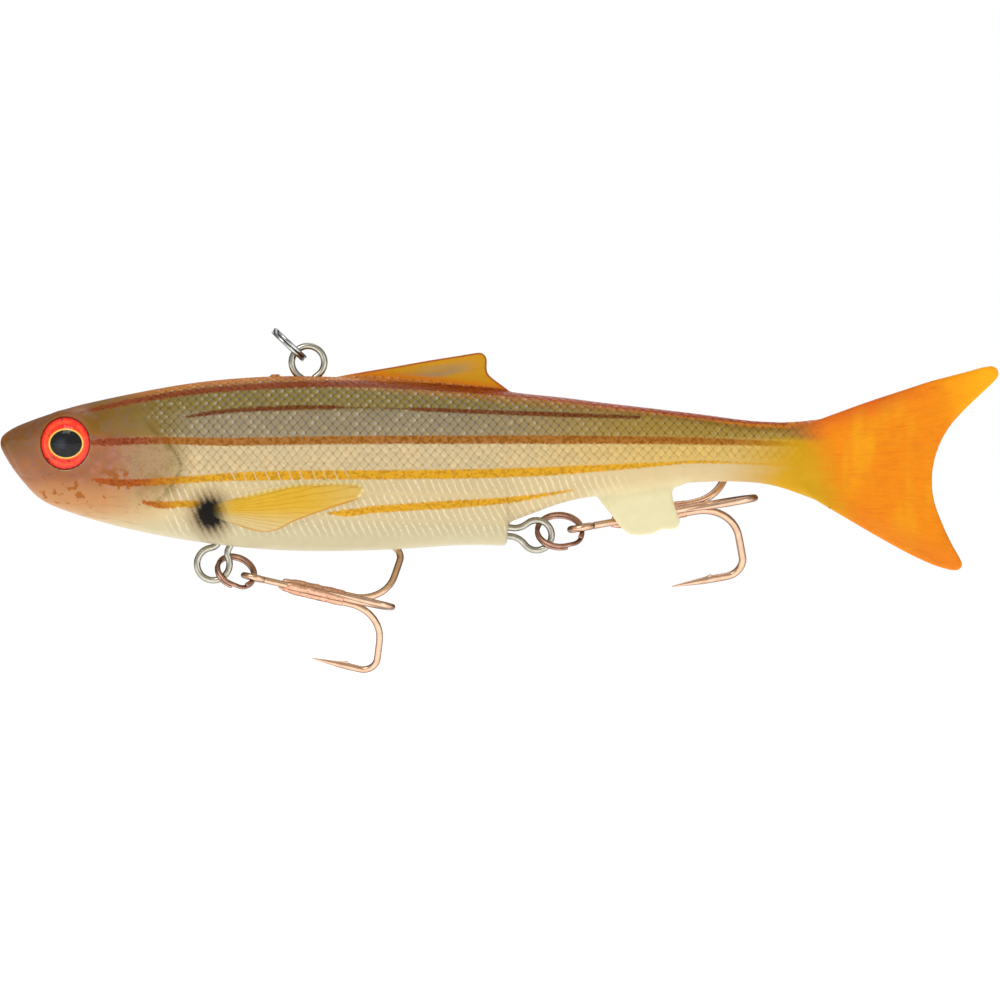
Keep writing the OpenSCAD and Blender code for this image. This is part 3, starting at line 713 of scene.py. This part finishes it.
    speckle = (0.62 + speck * 0.7 - rim.ease(0.7, 1.0) * 0.12).least(1.0)
    backInk = f.mix(c["backLine"], c["backLineRear"], x.ease(15, 40))
    colour = line("backLine", backInk, 0.45, streak.ease(0.1, 0.3) * speckle)
    colour = line("thinLine", c["thinLine"], 0.4, grain.ease(0.22, 0.42) * speckle)
    colour = line("sideLine", f.mix(c["sideLine"], c["sideLineHead"], 1 - x.ease(-26, -18)), 0.3, speckle)
    cuts = abs((slope / 1.55).part() - 0.5).ease(0.40, 0.48) * x.ease(-13, -11.5) * (1 - x.ease(5.5, 7.5))
    gold = f.mix(c["goldLine"], c["lineHead"], 1 - (x + streak * 6).ease(-23, -12))
    gold = f.mix(gold, f.shade(gold, 0.84), grain.ease(0.45, 0.62) * 0.6)
    colour = line("goldLine", gold, 0.26, (1 - cuts * 0.85) * grain.ease(0.16, 0.34))
    colour = line("lowLine", gold, 0.3, grain.ease(0.2, 0.36))

    # flecks on the cheek and chin, and the soft black spot
    fleckArea = x.ease(-42, -39) * (1 - x.ease(-24.5, -22)) * (1 - z.ease(-17, -15)) * z.ease(-23, -20.8)
    fleck = f.noise(rest, 0.62, 3.0).ease(0.565, 0.62) * fleckArea
    colour = f.mix(colour, c["fleck"], fleck * 0.85)
    spotX, spotZ = x + 14.3, z + 22.7
    reach = (spotX * spotX + spotZ * spotZ * 0.85).math("SQRT")
    comb = abs(((x * 0.906 + z * 0.423) / 0.9).part() - 0.5)
    spot = 1 - (reach + (grain - 0.5) + comb * 1.3 * reach.ease(0.6, 2.4)).ease(1.5, 3.4)
    colour = f.mix(colour, tone(104, 70, 26), (1 - (reach + comb).ease(2.4, 5.0)) * 0.55)
    colour = f.mix(colour, c["spot"], spot)

    # pectoral fin
    turn = f.own("finTurn")
    ray = abs((turn / 3.1 + warp * 0.5).part() - 0.5).ease(0.28, 0.5)
    palePart = (1 - (turn + wobble * 6).ease(-14, 6)).most(x.ease(-2, 12) * 0.55)
    finColour = f.mix(c["fin"], c["finLow"], palePart)
    finColour = f.mix(finColour, c["finRay"], ray * 0.4 * streak.ease(0.3, 0.6))
    onFin = finEdge.ease(-0.05, 0.12) * (x + wobble).ease(-14.2, -10.2)
    colour = f.mix(colour, finColour, onFin)
    rim = (1 - abs(finEdge - 0.05).ease(0.1, 0.34)) * x.ease(-12, -9)
    topRimHighlight = rim * z.ease(-20.9, -20.2)
    scallop = abs((f.own("finAlong") / relief["scallop"][1]).part() - 0.5).ease(0.12, 0.42)
    # pale along the fin's upper edge, brightest on its beads: painted highlight
    colour = f.mix(colour, c["finTopHighlight"], topRimHighlight * (0.35 + scallop * 0.6))
    # darker along the rest of the fin's edge: painted shade
    colour = f.mix(colour, c["finEdgeShade"], rim * (1 - z.ease(-20.6, -20.0)) * 0.8)

    # dorsal fin, anal lobe, tail
    onDorsal = (overBack + wobble).ease(0.1, 0.7) * x.ease(2, 5) * (1 - x.ease(30, 31))
    fold = f.noise(f.point(x * 0.12, 0, z * 0.9 - x * 0.13), 0.9, 2.0)
    finTop = z - (x - 3) * 0.185 + 2.7  # 0 along the fin's upper edge
    bandDown = (1 - abs(finTop + 2.0 + (fold - 0.5) * 2).ease(0.1, 1.4)) * x.ease(7, 16)
    bandDown = bandDown * (1 - x.ease(20, 27))
    dorsal = f.mix(c["dorsal"], c["dorsalFold"], bandDown * 0.75)
    dorsal = f.mix(dorsal, f.shade(c["dorsal"], 0.8), fold.ease(0.5, 0.66) * 0.5)
    dorsal = f.mix(dorsal, c["edge"], 1 - overBack.ease(0.5, 1.5))
    dorsal = f.mix(dorsal, c["dorsalEdge"], (1 - f.own("dorsalRim").ease(0.16, 0.4)) * 0.85)
    colour = f.mix(colour, dorsal, onDorsal)
    lobe = (1 - (z + x * -0.12 + wobble).ease(-26.6, -23.2)) * x.ease(40, 44) * (1 - x.ease(57, 58))
    colour = f.mix(colour, c["lobe"], lobe)
    wrist = (x + streak * 3 - overSide * 0.55).ease(65, 76.5)
    colour = f.mix(colour, c["wrist"], wrist * (1 - overSide.ease(0.2, 1.6) * (1 - x.ease(74, 81))))
    back = overSide.ease(0.3, 1.8) * x.ease(69.5, 77)
    backColour = f.mix(tone(160, 92, 40), c["tailRed"], x.ease(73, 80))
    colour = f.mix(colour, backColour, back * (1 - x.ease(80, 88)) * 0.85)
    tailArea = (x + streak * 3 + overSide * 0.35).ease(74.5, 81.5)
    bands = f.noise(f.point(x * 0.5, y, z * 0.16), 0.55, 2.0)
    tail = f.mix(c["tail"], c["tailYellow"], bands.ease(0.45, 0.7) * 0.8)
    tail = f.mix(tail, c["tailRed"], streak.ease(0.5, 0.8) * 0.4)
    tail = f.mix(tail, c["tailRed"], (z - x * 0.32).ease(-36.5, -32) * (1 - x.ease(86, 96)) * 0.9)
    tail = f.mix(tail, tone(228, 122, 34), (1 - (z + x * 0.48).ease(15.5, 19.5)) * 0.6)
    tail = f.mix(tail, tone(250, 168, 18), x.ease(93, 102) * z.ease(-12, -6))
    fan = f.point(x * 0.07, 0, (z + 17) / (x * 0.05 - 3.0).most(0.45))  # spreads toward the tail's edge
    webs = abs(f.noise(fan, 3.0, 3.0) - 0.5)
    tail = f.mix(tail, f.shade(tail, 0.86), (1 - webs.ease(0.0, 0.06)) * 0.5)
    colour = f.mix(colour, tail, tailArea)
    f.set(Base_Color=f.shade(colour, 0.93 + mottle * 0.14))

    # surface: scales, strokes, rays, a fine moulded grain
    height = rise.ease(0.0, 0.55) * netArea * notFin * 0.9 + strokes * 0.55 + onFin * (1 - ray) * 0.4
    tailRays = f.noise(f.point(x * 0.12, y, (z + 18) / (x * 0.045 - 2.6).most(0.4)), 2.4, 2.0)
    height = height + tailRays * x.ease(78, 86) * 0.35 + grain * 0.16 + fold * onDorsal * 0.4
    f.set(Normal=f.bump(height, relief["moulding"], 0.9), Roughness=0.3 + grain * 0.16 + net * 0.15)
    return f.material


skinMaterial = skinPaint()
for piece in skinPieces:
    paintOver(piece, skinMaterial)
print("skin painted")


# eyes
def eyePieces(side, tag):
    middle, look = eyeSpot(side)
    turn = math.radians(eyes["toeIn"])
    tailward = Vector((math.cos(turn), side * math.sin(turn), 0))
    turned = look.to_track_quat("Z", "Y").to_euler()
    bpy.ops.mesh.primitive_cylinder_add(vertices=96, radius=eyes["across"] / 2, depth=eyes["thick"],
                                        location=middle, rotation=turned)
    disc = settle(named("eyePrint" + tag))
    openEdit(disc, "DESELECT")
    closeEdit()
    for face in disc.data.polygons:
        face.select = face.normal.dot(look) > 0.9
    bpy.context.tool_settings.mesh_select_mode = (False, False, True)
    openEdit(disc, None)
    for _ in range(eyes["rings"]):
        bpy.ops.mesh.inset(thickness=eyes["ringStep"])
    closeEdit()
    applyModifier(disc, "BEVEL", width=eyes["printEdge"], segments=2, limit_method="ANGLE")
    off = getPoints(disc) - np.array(middle)
    keep(disc, "disc", np.stack([off @ np.array(tailward), off[:, 2], off @ np.array(look)], axis=1) / mm)
    smoothShade(disc, 40)
    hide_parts("eye_foil_" + tag.lower())
    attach(disc, "lure_body")

    base = eyes["across"] / 2 - 0.1 * mm
    radius = (base ** 2 + eyes["rise"] ** 2) / (2 * eyes["rise"])
    front = middle + look * (eyes["thick"] / 2 + 0.01 * mm)
    bpy.ops.mesh.primitive_uv_sphere_add(segments=96, ring_count=96, radius=radius,
                                         location=front + look * (eyes["rise"] - radius), rotation=turned)
    dome = settle(named("eyeDome" + tag))
    openEdit(dome)
    bpy.ops.mesh.bisect(plane_co=front, plane_no=look, use_fill=True, clear_inner=True)
    closeEdit()
    applyModifier(dome, "BEVEL", width=eyes["domeEdge"], segments=2, limit_method="ANGLE",
                  angle_limit=math.radians(35))
    smoothShade(dome, 40)
    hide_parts("eye_lens_" + tag.lower())
    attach(dome, "lure_body")
    return disc, dome


def eyePrintFinish():
    f = Finish("eyePrint", Specular_IOR_Level=0.15)
    u, v = f.axes(f.own("disc", vector=True))[:2]
    reach = (u * u + v * v).math("SQRT")
    oval = ((u - 0.12) * (u - 0.12) + (v + 0.05) * (v + 0.05) * 1.55).math("SQRT")
    turn = v.math("ARCTAN2", u)
    grain = f.noise(f.point(u, v, 0), 2.6, 3.0)
    # dark patches on the red ring: painted reflection, as the dome would show it
    ringReflection = f.noise(f.point(turn.math("COSINE") * 1.6, turn.math("SINE") * 1.6, reach * 0.25), 1.7, 2.0)
    colour = f.mix(tone(255, 40, 28), tone(160, 4, 10), ringReflection.ease(0.5, 0.7))
    # a paler band round the red ring: painted highlight
    ringHighlight = (1 - abs(reach - 3.2).ease(0.0, 0.5)) * ringReflection.ease(0.3, 0.5) * 0.6
    colour = f.mix(colour, tone(255, 104, 48), ringHighlight)
    colour = f.mix(colour, tone(110, 16, 20), reach.ease(3.6, 3.95))
    rough = oval + (grain - 0.5) * 0.1
    colour = f.mix(colour, tone(246, 96, 30), 1 - rough.ease(2.92, 3.08))
    colour = f.mix(colour, tone(250, 206, 96), 1 - rough.ease(2.72, 2.84))
    colour = f.mix(colour, tone(52, 30, 12), 1 - oval.ease(2.5, 2.62))
    # a pale patch in the pupil: painted reflection
    pupilReflection = ((u + 0.7) * (u + 0.7) + (v + 0.1) * (v + 0.1)).math("SQRT")
    pupil = f.mix(tone(5, 5, 6), tone(60, 62, 76), (1 - (pupilReflection + grain * 0.3).ease(0.1, 1.5)) * 0.7)
    colour = f.mix(colour, pupil, 1 - oval.ease(2.42, 2.52))
    f.set(Base_Color=colour, Roughness=0.24 + grain * 0.12)
    return f.material


def domeFinish():  # clear, with a gloss that grows where the dome turns away
    f = Finish("eyeDome")
    facing = f.node("LayerWeight", {}, {"Blend": 0.5}, 1)
    share = 0.02 + facing * facing * facing * facing * 0.3
    clear, gloss = f.node("BsdfTransparent"), f.node("BsdfGlossy", {}, {"Roughness": 0.05})
    f.feed(f.out.inputs[0], f.node("MixShader", {}, {0: share, 1: clear, 2: gloss}))
    f.tree.nodes.remove(f.shader)
    return f.material


eyePrint, eyeDome = eyePrintFinish(), domeFinish()
for side, tag in ((-1, "Left"), (1, "Right")):
    disc, dome = eyePieces(side, tag)
    disc.data.materials.append(eyePrint)
    dome.data.materials.append(eyeDome)
print("eyes set")


# wires, rings and hooks
metals = {
    # piece, CAD node, body, slot, finish, and how far the wire is grown for what smoothing takes off:
    # less on a ring and nothing on an eyed hook, so that the eye clears the ring at the end of its swing
    "lineTie": ("line_tie_wire", "lure_body", "steel_wire", "steel", 0.030),
    "bellyHanger": ("belly_hanger_wire", "lure_body", "steel_wire", "steel", 0.030),
    "rearHanger": ("rear_hanger_wire", "lure_body", "steel_wire", "steel", 0.030),
    "lineRing": ("line_ring", "line_ring_body", "steel_wire", "steelRing", 0.035),
    "bellyRing": ("belly_ring", "belly_ring_body", "bronze_ring", "bronzeRing", 0.02),
    "rearRing": ("rear_ring", "rear_ring_body", "bronze_ring", "bronzeRing", 0.02),
    "bellyEyedHook": ("belly_eyed_hook", "belly_treble", "bronze_hook", "hook", 0.0),
    "bellyLowerHook": ("belly_side_hook_lower", "belly_treble", "bronze_hook", "hook", 0.030),
    "bellyUpperHook": ("belly_side_hook_upper", "belly_treble", "bronze_hook", "hook", 0.030),
    "rearEyedHook": ("rear_eyed_hook", "rear_treble", "bronze_hook", "hook", 0.0),
    "rearLowerHook": ("rear_side_hook_lower", "rear_treble", "bronze_hook", "hook", 0.033),
    "rearUpperHook": ("rear_side_hook_upper", "rear_treble", "bronze_hook", "hook", 0.033),
}


def drawnWire(name, node, body, grow):
    piece = bpy.data.objects.new(name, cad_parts[node].data.copy())
    bpy.context.scene.collection.objects.link(piece)
    piece.data.name = name
    openEdit(piece)
    bpy.ops.mesh.customdata_custom_splitnormals_clear()
    bpy.ops.mesh.remove_doubles(threshold=0.002 * mm)
    bpy.ops.mesh.tris_convert_to_quads(face_threshold=math.radians(50), shape_threshold=math.radians(70))
    closeEdit()
    setPoints(piece, getPoints(piece) + getPoints(piece, "normal") * grow * mm)
    applyModifier(piece, "SUBSURF", levels=2, render_levels=2)
    smoothShade(piece, 80)
    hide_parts(node)
    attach(piece, body)
    return piece


def metalFinish(name, colour, worn, stainAndRimReflection, rough, pits=0.0, stain=0.1, grain=5.0):
    f = Finish(name, Metallic=1.0)
    place = f.node("VectorMath", {"operation": "SCALE"}, {0: f.place(), 3: 1000.0})
    cloud = f.noise(place, 0.9, 3.0)
    fine = f.noise(place, grain, 3.0)
    rim = f.node("LayerWeight", {}, {"Blend": 0.5}, 1)
    base = f.mix(colour, worn, cloud.ease(0.35, 0.75) * 0.6)
    # the stain colour goes on in specks, which are real stains, and along the rims, where it is a painted
    # dark reflection
    base = f.mix(base, stainAndRimReflection, (rim.ease(0.08, 0.62) * 0.88).most(fine.ease(0.56, 0.72) * stain))
    f.set(Base_Color=base, Roughness=rough + fine * 0.08 + cloud * 0.05)
    f.set(Normal=f.bump(fine + cloud * 0.5, (0.003 + pits) * mm, 0.5))
    return f.material


# the third colour of each finish is its stain and the painted dark reflection along its rims
finishes = {
    "steel": metalFinish("steelWire", tone(198, 194, 178), tone(164, 158, 140), tone(70, 64, 52), 0.2),
    "steelRing": metalFinish("steelRing", tone(200, 200, 198), tone(150, 150, 148), tone(24, 24, 24), 0.14),
    "bronzeRing": metalFinish("bronzeRing", tone(200, 156, 136), tone(130, 94, 78), tone(34, 20, 15), 0.2),
    "hook": metalFinish("bronzeHook", tone(232, 194, 164), tone(208, 162, 132), tone(76, 42, 26), 0.2),
    "braze": metalFinish("braze", tone(232, 184, 154), tone(204, 148, 116), tone(112, 62, 42), 0.32,
                         pits=0.02, stain=0.8, grain=2.2),
    "lead": metalFinish("leadKeel", tone(118, 120, 124), tone(92, 94, 98), tone(60, 60, 62), 0.5),
}
for name, (node, body, slot, finish, grow) in metals.items():
    paintOver(drawnWire(name, node, body, grow), finishes[finish])
print("wires, rings and hooks drawn")


# brazing: three shanks' worth of solder run together
brazing = {
    "voxel": 0.09 * mm, "proud": 0.1 * mm,
    "point": 1.9 * mm, "lag": 0.35 * mm,      # each run's point, and how far it starts behind the last
    "lump": 0.1 * mm, "lumpSize": 0.9 * mm,
    "past": 1.2 * mm, "aside": 1.35 * mm,     # where a hook's points count as its shank
}


def nodePoints(node):
    return np.array([v.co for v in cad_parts[node].data.vertices], float)


def shankLine(node):  # middle of the CAD brazing, the way along it, and its half length
    points = nodePoints(node)
    way = np.linalg.svd(points - points.mean(0), full_matrices=False)[2][0]
    way = way * np.sign(way[0])
    along = points @ way
    middle = points.mean(0) + way * ((along.min() + along.max()) / 2 - points.mean(0) @ way)
    return middle, way, (along.max() - along.min()) / 2


def brazePiece(name, node, hooks, body, wire):
    middle, way, half = shankLine(node)
    turned = Vector(way).to_track_quat("Z", "Y").to_euler()
    radius, point = wire / 2 + brazing["proud"], brazing["point"]
    rods = []
    for i, hook in enumerate(hooks):
        points = nodePoints(hook) - middle
        along = points @ way
        out = points - along[:, None] * way
        near = (np.abs(along) < half + brazing["past"]) & (np.linalg.norm(out, axis=1) < brazing["aside"])
        offset = out[near].mean(0)
        lag = brazing["lag"] * i
        bpy.ops.mesh.primitive_cylinder_add(vertices=32, radius=radius, depth=2 * half - point - lag,
                                            location=middle + offset + way * (point + lag) / 2,
                                            rotation=turned)
        rods.append(settle(bpy.context.object))
        bpy.ops.mesh.primitive_cone_add(vertices=32, radius1=radius * 0.35, radius2=radius, depth=point,
                                        location=middle + offset * 0.9 - way * (half - point / 2 - lag),
                                        rotation=turned)
        rods.append(settle(bpy.context.object))
    pickOnly(rods[0], *rods[1:])
    bpy.ops.object.join()
    piece = named(name)
    applyModifier(piece, "REMESH", mode="VOXEL", voxel_size=brazing["voxel"], use_smooth_shade=True)
    applyModifier(piece, "SMOOTH", factor=0.5, iterations=5)
    lumps = bpy.data.textures.new(name + "Lumps", "CLOUDS")
    lumps.noise_scale = brazing["lumpSize"]
    lumps.noise_depth = 2
    applyModifier(piece, "DISPLACE", texture=lumps, strength=brazing["lump"] * 2, mid_level=0.45,
                  texture_coords="LOCAL")
    smoothShade(piece, 80)
    paintOver(piece, finishes["braze"])
    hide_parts(node)
    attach(piece, body)


for end, wire in (("belly", 1.05 * mm), ("rear", 1.15 * mm)):
    hooks = [end + "_eyed_hook", end + "_side_hook_lower", end + "_side_hook_upper"]
    brazePiece(end + "Braze", end + "_hook_braze", hooks, end + "_treble", wire)
paintOver(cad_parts["keel_weight"], finishes["lead"])
print("brazing run")


# stage, light and camera
studio = {
    "floor": -0.105, "floorSize": 9, "floorGlow": 0.75, "world": 0.42,
    "middle": (0.0288, 0, -0.02065),
    # place, size and watts of each lamp, all aimed at the middle
    "lamps": {"key": ((-0.25, -0.45, 0.42), 0.3, 1.3), "fill": ((0.45, -0.5, 0.1), 0.35, 0.5),
              "top": ((0.05, 0.15, 0.5), 0.4, 0.8), "back": ((0.15, 0.5, 0.3), 0.35, 0.9)},
    "card": ((0.03, 0.5, 0.04), 0.8, 0.26),  # place, width and height
    "lens": 200, "sensor": 36, "seen": 150 * mm,  # the last is the width of what the camera sees
}


def turnedTo(place, axis):
    return (Vector(studio["middle"]) - Vector(place)).to_track_quat(axis, "Y").to_euler()


bpy.ops.object.select_all(action="DESELECT")
bpy.ops.mesh.primitive_plane_add(size=studio["floorSize"], location=(0.03, 0, studio["floor"]))
floor = named("floor")
settle(floor)
paper = Finish("paper", Roughness=0.7, Emission_Color=(1, 1, 1, 1), Emission_Strength=studio["floorGlow"])
fibre = paper.noise(paper.place(), 40, 2.0)
paper.set(Base_Color=paper.mix((0.93, 0.93, 0.93, 1), (0.9, 0.9, 0.9, 1), fibre))
floor.data.materials.append(paper.material)

world = bpy.data.worlds.new("studio")
bpy.context.scene.world = world
world.use_nodes = True
parts, links = world.node_tree.nodes, world.node_tree.links
sky = parts["Background"]
paleWall = parts.new("ShaderNodeBackground")  # what the lens sees past the floor
wallOrSky = parts.new("ShaderNodeMixShader")
rays = parts.new("ShaderNodeLightPath")
for background, strength in ((sky, studio["world"]), (paleWall, 1)):
    background.inputs[0].default_value = (1, 1, 1, 1)
    background.inputs[1].default_value = strength
for start, stop in ((rays.outputs["Is Camera Ray"], wallOrSky.inputs[0]),
                    (sky.outputs[0], wallOrSky.inputs[1]), (paleWall.outputs[0], wallOrSky.inputs[2]),
                    (wallOrSky.outputs[0], parts["World Output"].inputs[0])):
    links.new(start, stop)

for name, (place, size, watts) in studio["lamps"].items():
    lamp = bpy.data.lights.new(name, "AREA")
    lamp.energy = watts
    lamp.size = size
    held = bpy.data.objects.new(name, lamp)
    bpy.context.scene.collection.objects.link(held)
    held.location = place
    held.rotation_euler = turnedTo(place, "-Z")

# a dark card behind, which the metal mirrors
place, wide, tall = studio["card"]
bpy.ops.mesh.primitive_plane_add(size=1, location=place, rotation=turnedTo(place, "Z"))
card = named("cardBehind")
card.scale = (wide, tall, 1)
settle(card)
felt = Finish("cardBehindFelt", Base_Color=(0.02, 0.02, 0.02, 1), Roughness=1.0)
card.data.materials.append(felt.material)
card.visible_camera = False

camera = bpy.data.cameras.new("camera")
camera.lens = studio["lens"]
camera.sensor_width = studio["sensor"]
lens = bpy.data.objects.new("camera", camera)
bpy.context.scene.collection.objects.link(lens)
middle = studio["middle"]
lens.location = (middle[0], -studio["seen"] * camera.lens / camera.sensor_width, middle[2])
lens.rotation_euler = (math.pi / 2, 0, 0)
bpy.context.scene.camera = lens
bpy.context.scene.view_settings.view_transform = "Standard"
print("stage set")
